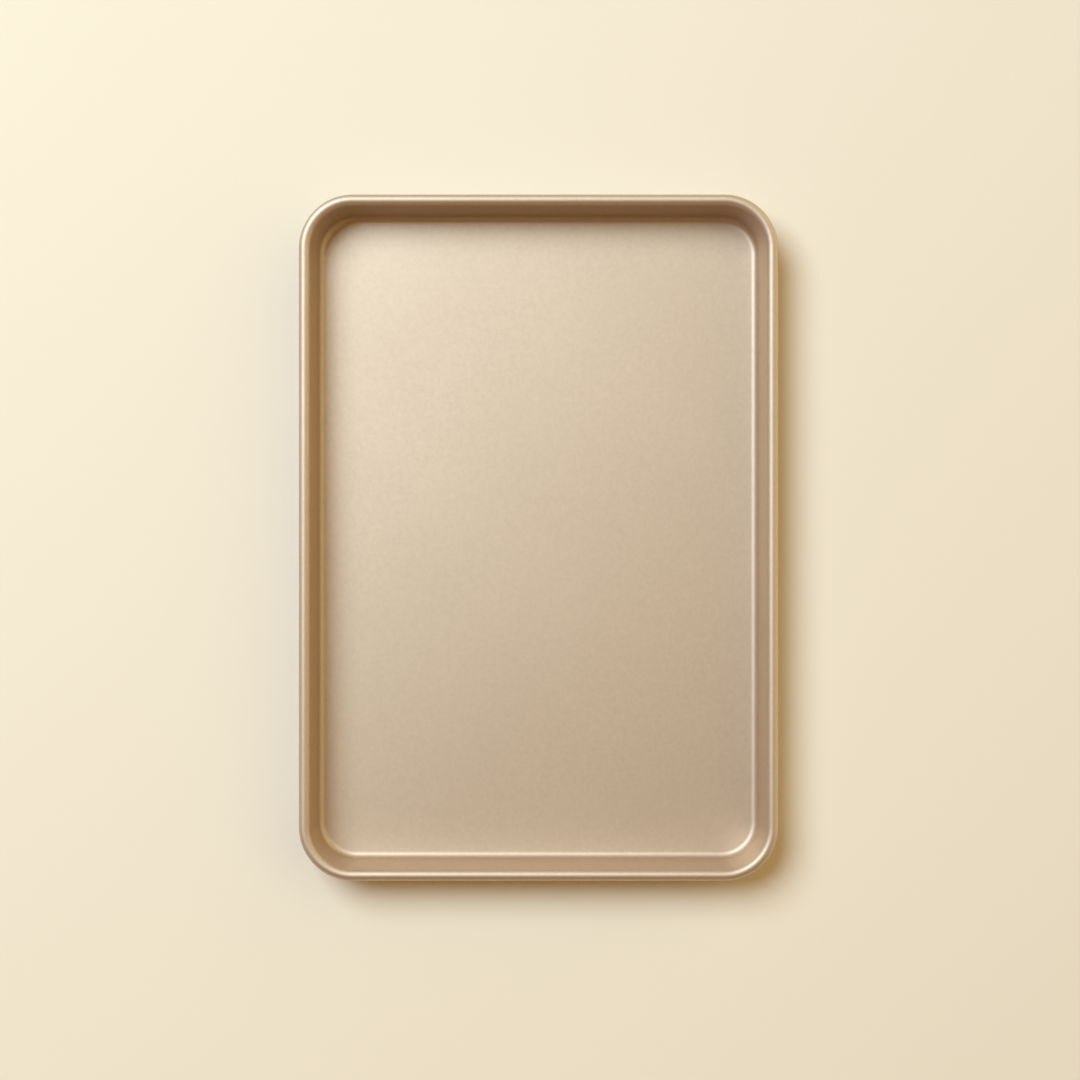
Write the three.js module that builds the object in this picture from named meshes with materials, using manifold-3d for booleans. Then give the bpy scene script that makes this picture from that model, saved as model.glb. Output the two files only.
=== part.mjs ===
// A rectangular baking pan, in millimetres. One sheet of carbon steel is drawn into a shallow tray, and its
// edge is curled outwards round a steel wire that stiffens the rim. Sheet and wire are its two pieces.
// The pan stands on z = 0 with +Z up. X runs across it, Y along it, and the origin is under its middle.
import * as THREE from "three";
import { mergeVertices } from "three/addons/utils/BufferGeometryUtils.js";
import Module from "manifold-3d";

// Driving dimensions
const PAN_LENGTH = 336.5; // over the rim, along Y
const PAN_WIDTH = 235; // over the rim, along X
const PAN_HEIGHT = 25; // from the table to the top of the rim
const CORNER_RADIUS = 26.5; // outside of the rim, seen from above
const SHEET = 0.8; // thickness of the steel sheet
const RIM_DIAMETER = 5.6; // outside of the curl
const WIRE_DIAMETER = 3.2;
const WALL_DRAFT = THREE.MathUtils.degToRad(6.5); // how far the wall leans outwards from upright
const FLOOR_FILLET = 3.4; // between the floor and the wall, on the food side
const CURL_TURN = THREE.MathUtils.degToRad(300); // how far the edge is rolled, up to 0.6 from the wall
const WIRE_JOINT = 1; // between the wire's two butted ends

// Facets of the round stretches
const CORNER_STEPS = 10;
const CURL_STEPS = 30; // ten degrees each, so that points fall on the rim's top and outside
const FILLET_STEPS = 8;
const WIRE_SIDES = 12;

// Section of the sheet. It is drawn at a corner: x is the distance from the corner's centre, y is the height.
const curlRadius = RIM_DIAMETER / 2;
const curlBore = curlRadius - SHEET;
const curlCentre = new THREE.Vector2(CORNER_RADIUS - curlRadius, PAN_HEIGHT - curlRadius);
const curlStart = Math.PI - WALL_DRAFT; // where the wall runs into the curl, square to the wall
const curlEnd = curlStart - CURL_TURN;

// The fillet touches the floor's top and the wall's inside face, so its centre is one radius from each.
const filletHeight = SHEET + FLOOR_FILLET;
const wallDrop = (curlCentre.y - filletHeight) * Math.sin(WALL_DRAFT);
const wallRun = (curlRadius + FLOOR_FILLET + wallDrop) / Math.cos(WALL_DRAFT);
const filletCentre = new THREE.Vector2(curlCentre.x - wallRun, filletHeight);

// Centres of the four corners, in the order of their quarter turns
const cornerX = PAN_WIDTH / 2 - CORNER_RADIUS;
const cornerY = PAN_LENGTH / 2 - CORNER_RADIUS;
const cornerCentres = [
  new THREE.Vector2(cornerX, cornerY),
  new THREE.Vector2(-cornerX, cornerY),
  new THREE.Vector2(-cornerX, -cornerY),
  new THREE.Vector2(cornerX, -cornerY),
];
const COLUMNS_PER_CORNER = CORNER_STEPS + 1;

const wasm = await Module();
wasm.setup();

// Points of an arc in the section, from one angle to another.
function arcPoints(centre, radius, from, to, steps) {
  const clockwise = to < from;
  return new THREE.ArcCurve(centre.x, centre.y, radius, from, to, clockwise).getPoints(steps);
}

// A lathe whose quarters are pulled out to the pan's four corners, with straight sides between them.
function quarteredLathe(section) {
  const columns = cornerCentres.length * COLUMNS_PER_CORNER;
  const geometry = new THREE.LatheGeometry(section, columns);
  const position = geometry.getAttribute("position");
  for (let column = 0; column <= columns; column++) {
    const quarter = Math.floor(column / COLUMNS_PER_CORNER) % cornerCentres.length;
    const step = column % COLUMNS_PER_CORNER;
    const angle = (quarter + step / CORNER_STEPS) * (Math.PI / 2);
    const centre = cornerCentres[quarter];
    section.forEach((point, row) => {
      const x = centre.x + point.x * Math.cos(angle);
      const y = centre.y + point.x * Math.sin(angle);
      position.setXYZ(column * section.length + row, x, y, point.y);
    });
  }
  return geometry;
}

// Closes the middle of the floor, between the corner centres, where the section starts and ends.
function closeFloor(geometry, rows) {
  const under = cornerCentres.map((_, quarter) => quarter * COLUMNS_PER_CORNER * rows);
  const [a, b, c, d] = under;
  const [e, f, g, h] = under.map((vertex) => vertex + rows - 1);
  const middle = [a, c, b, a, d, c, e, f, g, e, g, h];
  geometry.setIndex([...geometry.index.array, ...middle]);
  return geometry;
}

// A closed geometry as a solid for cutting.
function solidOf(geometry) {
  const bare = new THREE.BufferGeometry();
  bare.setAttribute("position", geometry.getAttribute("position"));
  bare.setIndex(geometry.index);
  const merged = mergeVertices(bare);
  const vertProperties = merged.getAttribute("position").array;
  const triVerts = new Uint32Array(merged.index.array);
  return new wasm.Manifold(new wasm.Mesh({ numProp: 3, vertProperties, triVerts }));
}

// A cut solid as a geometry again.
function geometryOf(solid) {
  const { vertProperties, triVerts } = solid.getMesh();
  const geometry = new THREE.BufferGeometry();
  geometry.setAttribute("position", new THREE.BufferAttribute(vertProperties, 3));
  geometry.setIndex(new THREE.BufferAttribute(triVerts, 1));
  geometry.computeVertexNormals();
  return geometry;
}

// The drawn sheet: floor, drafted walls and the curl at the rim, of one thickness throughout.
function panShell() {
  const foot = -Math.PI / 2;
  const section = [
    new THREE.Vector2(0, 0),
    ...arcPoints(filletCentre, FLOOR_FILLET + SHEET, foot, -WALL_DRAFT, FILLET_STEPS),
    ...arcPoints(curlCentre, curlBore, curlStart, curlEnd, CURL_STEPS),
    ...arcPoints(curlCentre, curlRadius, curlEnd, curlStart, CURL_STEPS),
    ...arcPoints(filletCentre, FLOOR_FILLET, -WALL_DRAFT, foot, FILLET_STEPS),
    new THREE.Vector2(0, SHEET),
  ];
  const geometry = closeFloor(quarteredLathe(section), section.length);
  const coating = new THREE.MeshStandardMaterial({ color: 0xc9ae8a, roughness: 0.42, metalness: 0.9 });
  const mesh = new THREE.Mesh(geometry, coating);
  mesh.name = "pan_shell";
  return mesh;
}

// The wire inside the curl: one length bent round the rim, with its ends butted in the middle of a long side.
function rimWire() {
  const ring = quarteredLathe(arcPoints(curlCentre, WIRE_DIAMETER / 2, 0, 2 * Math.PI, WIRE_SIDES));
  const joint = new THREE.BoxGeometry(RIM_DIAMETER, WIRE_JOINT, RIM_DIAMETER);
  joint.translate(-cornerX - curlCentre.x, 0, curlCentre.y);
  const geometry = geometryOf(solidOf(ring).subtract(solidOf(joint)));
  const zinc = new THREE.MeshStandardMaterial({ color: 0xb4b6b8, roughness: 0.4, metalness: 1 });
  const mesh = new THREE.Mesh(geometry, zinc);
  mesh.name = "rim_wire";
  return mesh;
}

const bakingPan = new THREE.Group();
bakingPan.name = "baking_pan";
bakingPan.add(panShell(), rimWire());

export default bakingPan;
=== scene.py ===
# A rectangular baking pan with a rolled rim: its looks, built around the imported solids. Metres, +Z up.
import math

import bmesh
import bpy
from mathutils import Matrix, Vector


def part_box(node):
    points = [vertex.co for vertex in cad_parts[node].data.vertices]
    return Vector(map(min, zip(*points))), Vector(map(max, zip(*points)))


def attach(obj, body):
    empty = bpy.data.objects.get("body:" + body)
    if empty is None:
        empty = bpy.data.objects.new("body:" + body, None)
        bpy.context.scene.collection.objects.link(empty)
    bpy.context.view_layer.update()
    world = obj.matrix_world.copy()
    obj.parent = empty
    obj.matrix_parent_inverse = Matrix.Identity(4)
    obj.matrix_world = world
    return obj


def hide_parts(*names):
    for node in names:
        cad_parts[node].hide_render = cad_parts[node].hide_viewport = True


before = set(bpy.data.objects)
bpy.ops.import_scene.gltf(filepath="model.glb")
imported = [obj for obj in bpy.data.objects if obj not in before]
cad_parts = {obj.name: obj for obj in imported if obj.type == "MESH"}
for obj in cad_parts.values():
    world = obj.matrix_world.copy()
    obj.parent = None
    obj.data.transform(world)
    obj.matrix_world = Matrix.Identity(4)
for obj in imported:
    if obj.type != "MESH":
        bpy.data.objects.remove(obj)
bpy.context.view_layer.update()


# The pan shell: one blank of thin carbon steel, pressed into a flat floor and leaning walls, then
# trimmed and rolled outwards round a wire to make the rim. A satin champagne-gold non-stick coating
# with fine metal flake is sprayed and baked on all over it.
SHEET = 0.0008
CORNER_RADIUS = 0.0265
WALL_DRAFT = math.radians(6.5)
FLOOR_FILLET = 0.0034
CURL_TURN = math.radians(300)
HEM_ROUNDING = 0.0002
FILLET_STEPS = 16
CURL_STEPS = 60
CORNER_STEPS = 24
ROUNDING_STEPS = 3
SHARP_TURN = math.radians(60)
MERGE_DISTANCE = 1e-6
# Narrow bands beside the round stretches keep the shading of the flat stretches even.
WALL_BAND = 0.0004
SIDE_BAND = 0.002
FLOOR_BAND = 0.0006

shell_low, shell_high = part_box("pan_shell")
wire_low, wire_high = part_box("rim_wire")
rim_height = (wire_low.z + wire_high.z) / 2
rim_radius = shell_high.z - rim_height
corner = Vector((shell_high.x - CORNER_RADIUS, shell_high.y - CORNER_RADIUS, 0))

# The section is drawn where the corner starts, square to the long side.
up_the_wall = Vector((math.sin(WALL_DRAFT), 0, math.cos(WALL_DRAFT)))
out_of_the_wall = Vector((math.cos(WALL_DRAFT), 0, -math.sin(WALL_DRAFT)))
curl_centre = Vector((shell_high.x - rim_radius, corner.y, rim_height))
fillet_height = SHEET + FLOOR_FILLET
fillet_turn = math.pi / 2 - WALL_DRAFT
wall_lean = (rim_height - fillet_height) * math.sin(WALL_DRAFT)
wall_run = (rim_radius + FLOOR_FILLET + wall_lean) / math.cos(WALL_DRAFT)
fillet_centre = Vector((curl_centre.x - wall_run, corner.y, fillet_height))
wall_foot = fillet_centre + FLOOR_FILLET * out_of_the_wall
wall_top = curl_centre - rim_radius * out_of_the_wall
wall_height = (wall_top - wall_foot).length


def only(kind, geometry):
    """Picks the vertices, edges or faces out of what an operator gives back."""
    return [item for item in geometry if isinstance(item, kind)]


def carry_round(mesh, section):
    """Carries a section round a corner and on to the middle of two sides, and mirrors that quarter."""
    first = only(bmesh.types.BMEdge, section)
    turned = bmesh.ops.spin(
        mesh, geom=section, cent=corner, axis=(0, 0, 1), angle=math.pi / 2, steps=CORNER_STEPS
    )
    last = only(bmesh.types.BMEdge, turned["geom_last"])
    sides = ((first, Vector((0, -1, 0)), corner.y), (last, Vector((-1, 0, 0)), corner.x))
    for row, way, length in sides:
        for reach in (SIDE_BAND, length - SIDE_BAND):
            drawn = bmesh.ops.extrude_edge_only(mesh, edges=row)["geom"]
            bmesh.ops.translate(mesh, verts=only(bmesh.types.BMVert, drawn), vec=way * reach)
            row = only(bmesh.types.BMEdge, drawn)
    for axis in ("X", "Y"):
        whole = mesh.verts[:] + mesh.edges[:] + mesh.faces[:]
        bmesh.ops.mirror(mesh, geom=whole, matrix=Matrix(), merge_dist=MERGE_DISTANCE, axis=axis)
    bmesh.ops.remove_doubles(mesh, verts=mesh.verts, dist=MERGE_DISTANCE)


def round_sharp_edges(mesh, rounding):
    """Takes the sharpness off the cut ends of sheet or wire."""
    sharp = [edge for edge in mesh.edges if edge.calc_face_angle(0) > SHARP_TURN]
    bmesh.ops.bevel(
        mesh,
        geom=sharp,
        offset=rounding,
        affect="EDGES",
        segments=ROUNDING_STEPS,
        profile=0.5,
        material=-1,
    )


def finished_object(name, mesh, material):
    """Turns a bmesh into a smooth object at the origin."""
    for face in mesh.faces:
        face.smooth = True
    data = bpy.data.meshes.new(name)
    mesh.to_mesh(data)
    mesh.free()
    data.materials.append(material)
    finished = bpy.data.objects.new(name, data)
    bpy.context.scene.collection.objects.link(finished)
    return finished


def grain_group():
    """A node group of random cells (grain), a mottled ripple (peel) and slow clouds (drift)."""
    group = bpy.data.node_groups.new("surface_grain", "ShaderNodeTree")
    patterns = (
        {"name": "Grain", "texture": "ShaderNodeTexVoronoi", "shade": "Color", "detail": 0},
        {"name": "Peel", "texture": "ShaderNodeTexNoise", "shade": "Fac", "detail": 4},
        {"name": "Drift", "texture": "ShaderNodeTexNoise", "shade": "Fac", "detail": 2},
    )
    for pattern in patterns:
        size_name = pattern["name"] + " Size"
        group.interface.new_socket(size_name, in_out="INPUT", socket_type="NodeSocketFloat")
        group.interface.new_socket(pattern["name"], in_out="OUTPUT", socket_type="NodeSocketFloat")
    sizes = group.nodes.new("NodeGroupInput")
    result = group.nodes.new("NodeGroupOutput")
    place = group.nodes.new("ShaderNodeTexCoord")
    for pattern in patterns:
        cells_per_metre = group.nodes.new("ShaderNodeMath")
        cells_per_metre.operation = "DIVIDE"
        cells_per_metre.inputs[0].default_value = 1
        texture = group.nodes.new(pattern["texture"])
        texture.inputs["Detail"].default_value = pattern["detail"]
        group.links.new(sizes.outputs[pattern["name"] + " Size"], cells_per_metre.inputs[1])
        group.links.new(cells_per_metre.outputs["Value"], texture.inputs["Scale"])
        group.links.new(place.outputs["Object"], texture.inputs["Vector"])
        group.links.new(texture.outputs[pattern["shade"]], result.inputs[pattern["name"]])
    return group


surface_grain = grain_group()


def mixed_colour(tree, share, first, last):
    """A colour that goes from first to last as the share goes from 0 to 1."""
    mix = tree.nodes.new("ShaderNodeMix")
    mix.data_type = "RGBA"
    ends = [socket for socket in mix.inputs if socket.type == "RGBA"]
    for end, colour in zip(ends, (first, last)):
        end.default_value = (*colour, 1)
    tree.links.new(share, mix.inputs["Factor"])
    return next(socket for socket in mix.outputs if socket.type == "RGBA")


def ramp(tree, value, start, end, first, last, course="LINEAR"):
    """A number that goes from first to last as the value goes from start to end."""
    scale = tree.nodes.new("ShaderNodeMapRange")
    scale.interpolation_type = course
    numbers = {"From Min": start, "From Max": end, "To Min": first, "To Max": last}
    for socket, number in numbers.items():
        scale.inputs[socket].default_value = number
    tree.links.new(value, scale.inputs["Value"])
    return scale.outputs["Result"]


def grained_material(name, sizes, shares, deep, pale, smooth, rough, peel_height, metallic=0):
    """A material whose colour and gloss follow grain, peel and drift, with the peel as a bump too."""
    material = bpy.data.materials.new(name)
    material.use_nodes = True
    tree = material.node_tree
    surface = tree.nodes["Principled BSDF"].inputs
    surface["Metallic"].default_value = metallic
    grain = tree.nodes.new("ShaderNodeGroup")
    grain.node_tree = surface_grain
    for socket, size in sizes.items():
        grain.inputs[socket].default_value = size

    shade = grain.outputs["Grain"]
    for pattern, share in shares.items():
        mix = tree.nodes.new("ShaderNodeMix")
        mix.inputs["Factor"].default_value = share
        tree.links.new(shade, mix.inputs["A"])
        tree.links.new(grain.outputs[pattern], mix.inputs["B"])
        shade = mix.outputs["Result"]
    tree.links.new(mixed_colour(tree, shade, deep, pale), surface["Base Color"])
    tree.links.new(ramp(tree, shade, 0, 1, rough, smooth), surface["Roughness"])

    bump = tree.nodes.new("ShaderNodeBump")
    bump.inputs["Distance"].default_value = peel_height
    tree.links.new(grain.outputs["Peel"], bump.inputs["Height"])
    tree.links.new(bump.outputs["Normal"], surface["Normal"])
    return material


# The section: the fillet from the edge of the floor, the wall and the curl.
shell = bmesh.new()
tip = bmesh.ops.create_vert(shell, co=(fillet_centre.x, corner.y, SHEET))["vert"]
tip = bmesh.ops.spin(
    shell, geom=tip, cent=fillet_centre, axis=(0, -1, 0), angle=fillet_turn, steps=FILLET_STEPS
)["geom_last"]
for rise in (WALL_BAND, wall_height - 2 * WALL_BAND, WALL_BAND):
    tip = bmesh.ops.extrude_vert_indiv(shell, verts=only(bmesh.types.BMVert, tip))["verts"]
    bmesh.ops.translate(shell, verts=tip, vec=up_the_wall * rise)
bmesh.ops.spin(shell, geom=tip, cent=curl_centre, axis=(0, 1, 0), angle=CURL_TURN, steps=CURL_STEPS)
carry_round(shell, shell.verts[:] + shell.edges[:])

# The floor closes the ring, and the sheet's thickness goes to the side away from the food.
floor_outline = [e for e in shell.edges if e.is_boundary and e.verts[0].co.z < fillet_height]
floor = bmesh.ops.contextual_create(shell, geom=floor_outline)["faces"]
bmesh.ops.inset_individual(shell, faces=floor, thickness=FLOOR_BAND, use_even_offset=True)
bmesh.ops.recalc_face_normals(shell, faces=shell.faces)
if floor[0].normal.z < 0:
    bmesh.ops.reverse_faces(shell, faces=shell.faces)
bmesh.ops.solidify(shell, geom=shell.faces[:], thickness=SHEET)
round_sharp_edges(shell, HEM_ROUNDING)

champagne = grained_material(
    "champagne_nonstick",
    sizes={"Grain Size": 0.00016, "Peel Size": 0.0022, "Drift Size": 0.07},
    shares={"Peel": 0.5, "Drift": 0.2},
    deep=(0.55, 0.456, 0.372),
    pale=(0.758, 0.628, 0.514),
    smooth=0.54,
    rough=0.62,
    peel_height=0.000006,
    metallic=1,
)
# Flake lies flat in the coating, so the gold deepens where the surface turns away from the eye.
TURNED_AWAY_GOLD = (0.78, 0.67, 0.52, 1)
coating = champagne.node_tree.nodes["Principled BSDF"].inputs
coating["Specular Tint"].default_value = TURNED_AWAY_GOLD

pan = finished_object("pressed_pan", shell, champagne)
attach(pan, "root")
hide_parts("pan_shell")


# The rim wire: one length of zinc-plated steel wire, bent to the outline of the rim before the edge
# is rolled over it. Its two ends are butted in the middle of a long side, and can only be seen from
# below, inside the roll.
WIRE_SIDES = 28
WIRE_JOINT = 0.001
WIRE_END_ROUNDING = 0.0003

wire_radius = (wire_high.z - wire_low.z) / 2
wire = bmesh.new()
upright = Matrix.Translation(curl_centre) @ Matrix.Rotation(math.pi / 2, 4, "X")
bmesh.ops.create_circle(wire, segments=WIRE_SIDES, radius=wire_radius, matrix=upright)
carry_round(wire, wire.verts[:] + wire.edges[:])
bmesh.ops.recalc_face_normals(wire, faces=wire.faces)

# The ring is cut on both sides of the joint, and the short stretch between the cuts is taken out.
for cut in (-WIRE_JOINT / 2, WIRE_JOINT / 2):
    jointed_side = [face for face in wire.faces if face.calc_center_median().x < -corner.x]
    edges = dict.fromkeys(edge for face in jointed_side for edge in face.edges)
    verts = dict.fromkeys(vert for face in jointed_side for vert in face.verts)
    bmesh.ops.bisect_plane(
        wire,
        geom=[*verts, *edges, *jointed_side],
        dist=MERGE_DISTANCE,
        plane_co=(0, cut, 0),
        plane_no=(0, 1, 0),
    )
joint = [
    face for face in wire.faces
    if face.calc_center_median().x < -corner.x and abs(face.calc_center_median().y) < WIRE_JOINT / 2
]
bmesh.ops.delete(wire, geom=joint, context="FACES")
bmesh.ops.holes_fill(wire, edges=[edge for edge in wire.edges if edge.is_boundary], sides=0)
round_sharp_edges(wire, WIRE_END_ROUNDING)

zinc = grained_material(
    "plated_zinc",
    sizes={"Grain Size": 0.00012, "Peel Size": 0.0005, "Drift Size": 0.012},
    shares={"Peel": 0.3, "Drift": 0.3},
    deep=(0.45, 0.46, 0.47),
    pale=(0.66, 0.67, 0.68),
    smooth=0.32,
    rough=0.48,
    peel_height=0.000008,
    metallic=1,
)

rim_wire = finished_object("bent_rim_wire", wire, zinc)
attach(rim_wire, "root")
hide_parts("rim_wire")


# The table: a wide sheet of cream paper with a faint tooth, which the pan lies on. Well outside the
# picture it fades into the pale room, so that no far edge shows from the side.
TABLE_REACH = 2
FADE_START = 0.4
FADE_END = 1.1
PAPER_SHINE = 0.2

paper = bmesh.new()
bmesh.ops.create_grid(paper, x_segments=1, y_segments=1, size=TABLE_REACH)
cream = grained_material(
    "cream_paper",
    sizes={"Grain Size": 0.0004, "Peel Size": 0.003, "Drift Size": 0.25},
    shares={"Peel": 0.5, "Drift": 0.5},
    deep=(0.86, 0.787, 0.685),
    pale=(0.88, 0.807, 0.705),
    smooth=0.85,
    rough=0.95,
    peel_height=0.00002,
)
paper_tree = cream.node_tree
paper_surface = paper_tree.nodes["Principled BSDF"].inputs
paper_surface["Specular IOR Level"].default_value = PAPER_SHINE
spot = paper_tree.nodes.new("ShaderNodeTexCoord")
distance = paper_tree.nodes.new("ShaderNodeVectorMath")
distance.operation = "LENGTH"
paper_tree.links.new(spot.outputs["Object"], distance.inputs[0])
fade = ramp(paper_tree, distance.outputs["Value"], FADE_START, FADE_END, 1, 0, course="SMOOTHSTEP")
paper_tree.links.new(fade, paper_surface["Alpha"])
table = finished_object("paper_table", paper, cream)


# The light: a round softbox at the upper left of the picture, a weaker and wider glow from the right,
# and a dim warm room that turns pale towards the horizon and below it. A lamp at level 1 would by
# itself bring a white sheet that faces it just to white.
LAMP_DISTANCE = 3
KEY_SPREAD = math.radians(38)
KEY_LEVEL = 1.06
KEY_COLOUR = (0.77, 0.93, 1)
FILL_SPREAD = math.radians(80)
FILL_LEVEL = 0.31
FILL_COLOUR = (1, 0.94, 0.55)
HORIZON_RISE = 0.1
CEILING_RISE = 0.22
HORIZON_COLOUR = (0.86, 0.76, 0.60)
CEILING_COLOUR = (0.25, 0.11, 0.005)


def lamp_over_pan(name, kind, zenith, azimuth):
    """A lamp that shines on the pan from a direction given by two angles in degrees."""
    lamp = bpy.data.lights.new(name, kind)
    holder = bpy.data.objects.new(name, lamp)
    holder.rotation_euler = (0, math.radians(zenith), math.radians(azimuth))
    holder.location = holder.rotation_euler.to_matrix() @ Vector((0, 0, LAMP_DISTANCE))
    bpy.context.scene.collection.objects.link(holder)
    return lamp


softbox = lamp_over_pan("key_softbox", "AREA", zenith=36, azimuth=135)
softbox.shape = "DISK"
softbox.size = 2 * LAMP_DISTANCE * math.tan(KEY_SPREAD / 2)
softbox.energy = KEY_LEVEL * (math.pi * LAMP_DISTANCE) ** 2
softbox.color = KEY_COLOUR

glow = lamp_over_pan("fill_glow", "SUN", zenith=60, azimuth=25)
glow.angle = FILL_SPREAD
glow.energy = FILL_LEVEL * math.pi
glow.color = FILL_COLOUR

room = bpy.data.worlds.new("warm_room")
room.use_nodes = True
room_tree = room.node_tree
direction = room_tree.nodes.new("ShaderNodeTexCoord")
upness = room_tree.nodes.new("ShaderNodeSeparateXYZ")
room_tree.links.new(direction.outputs["Generated"], upness.inputs["Vector"])
height = ramp(room_tree, upness.outputs["Z"], HORIZON_RISE, CEILING_RISE, 0, 1, course="SMOOTHSTEP")
room_shade = mixed_colour(room_tree, height, HORIZON_COLOUR, CEILING_COLOUR)
room_tree.links.new(room_shade, room_tree.nodes["Background"].inputs["Color"])
bpy.context.scene.world = room


# The camera: straight above the pan and a metre up, with the pan's long sides upright in the picture.
# Its lens makes one pixel of the picture as wide as RIM_PIXEL on the plane of the rim.
RIM_PIXEL = 0.0004904
IMAGE_PIXELS = 1080
CAMERA_HEIGHT = 1.0
CAMERA_PLACE = Vector((0.00074, -0.00113, CAMERA_HEIGHT))

camera_data = bpy.data.cameras.new("overhead_camera")
view_width = RIM_PIXEL * IMAGE_PIXELS
camera_data.lens = camera_data.sensor_width * (CAMERA_HEIGHT - rim_height) / view_width
camera = bpy.data.objects.new("overhead_camera", camera_data)
camera.location = CAMERA_PLACE
bpy.context.scene.collection.objects.link(camera)
bpy.context.scene.camera = camera
bpy.context.scene.view_settings.view_transform = "Standard"
